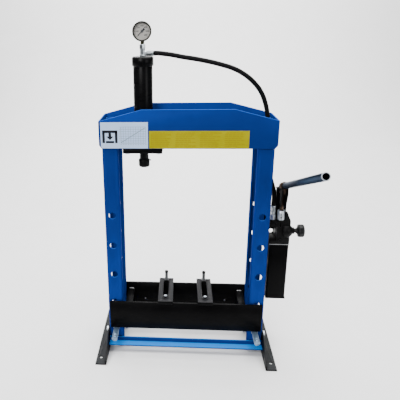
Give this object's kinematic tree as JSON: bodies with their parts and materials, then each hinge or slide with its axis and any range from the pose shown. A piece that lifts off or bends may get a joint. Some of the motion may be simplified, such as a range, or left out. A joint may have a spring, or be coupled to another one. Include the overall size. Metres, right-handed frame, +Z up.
{
  "type": "workshop press",
  "caption": "Floor-standing shop press with a sliding cylinder, pressure gauge, hand pump lever, hose and height-adjustable bed on pins.",
  "frame": {"origin": "on the floor, on the left foot's sole, level with the middle of the left front upright", "axes": "+X to the operator's right, +Y away from the operator, +Z up"},
  "size_m": [0.8145, 0.7348, 1.3024],
  "materials": {
    "frame_blue": "semi-gloss blue powder coat",
    "black_paint": "semi-gloss black paint",
    "foot_grey": "dark grey paint",
    "zinc": "bright zinc plate",
    "bright_steel": "ground bright steel",
    "oiled_steel": "dark oiled steel",
    "cast_black": "black paint on a casting",
    "hose_rubber": "black hose cover",
    "label_white": "printed film",
    "label_yellow": "printed film",
    "gauge_glass": "clear window",
    "spring_steel": "oiled spring wire",
    "knob_plastic": "black moulded plastic"
  },
  "bodies": {
    "frame": {"head_front_plate": "frame_blue", "head_rear_plate": "frame_blue", "head_rail_front": "frame_blue", "head_rail_rear": "frame_blue", "label_white": "label_white", "label_yellow": "label_yellow", "upright_left_front": "frame_blue", "upright_left_rear": "frame_blue", "upright_right_front": "frame_blue", "upright_right_rear": "frame_blue", "base_front_angle": "frame_blue", "base_rear_angle": "frame_blue", "foot_left": "foot_grey", "foot_right": "foot_grey", "foot_bolt_left_front": "zinc", "foot_bolt_left_rear": "zinc", "foot_bolt_right_front": "zinc", "foot_bolt_right_rear": "zinc", "hydraulic_hose": "hose_rubber", "pump_bracket": "black_paint", "oil_tank": "black_paint", "tank_filler_cap": "knob_plastic", "pump_body": "cast_black", "pump_barrel": "zinc", "hose_nut": "zinc", "hose_ferrule_pump": "zinc", "lever_yoke": "black_paint", "lever_pivot_pin": "zinc"},
    "carriage": {"carriage_lower_plate": "black_paint", "carriage_upper_plate": "black_paint", "carriage_bolt_left_front": "zinc", "carriage_bolt_left_rear": "zinc", "carriage_bolt_right_front": "zinc", "carriage_bolt_right_rear": "zinc", "cylinder_tube": "black_paint", "cylinder_cap": "black_paint", "cap_tee": "zinc", "hose_ferrule_cylinder": "zinc", "gauge_case": "black_paint", "gauge_glass": "gauge_glass", "return_spring": "spring_steel"},
    "ram": {"ram": "oiled_steel", "ram_pad": "black_paint", "pad_screw": "black_paint"},
    "needle": {"gauge_needle": "black_paint"},
    "bed": {"bed_front_plate": "black_paint", "bed_rear_plate": "black_paint", "bed_spacer_left": "black_paint", "bed_spacer_right": "black_paint"},
    "left_block": {"block_left": "black_paint", "block_bolt_left": "zinc"},
    "right_block": {"block_right": "black_paint", "block_bolt_right": "zinc"},
    "left_pin": {"bed_pin_left": "zinc"},
    "right_pin": {"bed_pin_right": "zinc"},
    "lever": {"lever_fork": "black_paint", "handle_tube": "bright_steel"},
    "plunger": {"pump_plunger": "oiled_steel"},
    "release_valve": {"release_valve": "knob_plastic"}
  },
  "joints": [
    {"name": "carriage_slide", "type": "slide", "parent": "frame", "child": "carriage", "axis": [1, 0, 0], "range_m": [0, 0.32], "deforming": ["hydraulic_hose"]},
    {"name": "ram_extend", "type": "slide", "parent": "carriage", "child": "ram", "axis": [0, 0, -1], "range_m": [0, 0.15], "stiffness_N_per_m": 400, "springref_m": -0.15, "deforming": ["return_spring"]},
    {"name": "needle_turn", "type": "hinge", "parent": "carriage", "child": "needle", "pos_m": [0.173, 0.0495, 1.2684], "axis": [0, 1, 0], "range_deg": [0, 270]},
    {"name": "bed_height", "type": "slide", "parent": "frame", "child": "bed", "axis": [0, 0, 1], "range_m": [0, 0.505]},
    {"name": "left_block_slide", "type": "slide", "parent": "bed", "child": "left_block", "axis": [1, 0, 0], "range_m": [-0.115, 0.04]},
    {"name": "right_block_slide", "type": "slide", "parent": "bed", "child": "right_block", "axis": [-1, 0, 0], "range_m": [-0.115, 0.04]},
    {"name": "left_pin_pull", "type": "slide", "parent": "frame", "child": "left_pin", "axis": [0, -1, 0], "range_m": [0, 0.17]},
    {"name": "right_pin_pull", "type": "slide", "parent": "frame", "child": "right_pin", "axis": [0, -1, 0], "range_m": [0, 0.17]},
    {"name": "lever_swing", "type": "hinge", "parent": "frame", "child": "lever", "pos_m": [0.698, 0.0565, 0.682], "axis": [1, 0, 0], "range_deg": [-20, 40]},
    {"name": "plunger_stroke", "type": "slide", "parent": "frame", "child": "plunger", "axis": [0, 0, -1], "range_m": [-0.012, 0.02]},
    {"name": "release_turn", "type": "hinge", "parent": "frame", "child": "release_valve", "pos_m": [0.776, 0.0385, 0.522], "axis": [1, 0, 0], "range_deg": [0, 360]}
  ],
  "couplings": [
    {"joint": "plunger_stroke", "follows": "lever_swing", "m_per_rad": 0.0265}
  ]
}
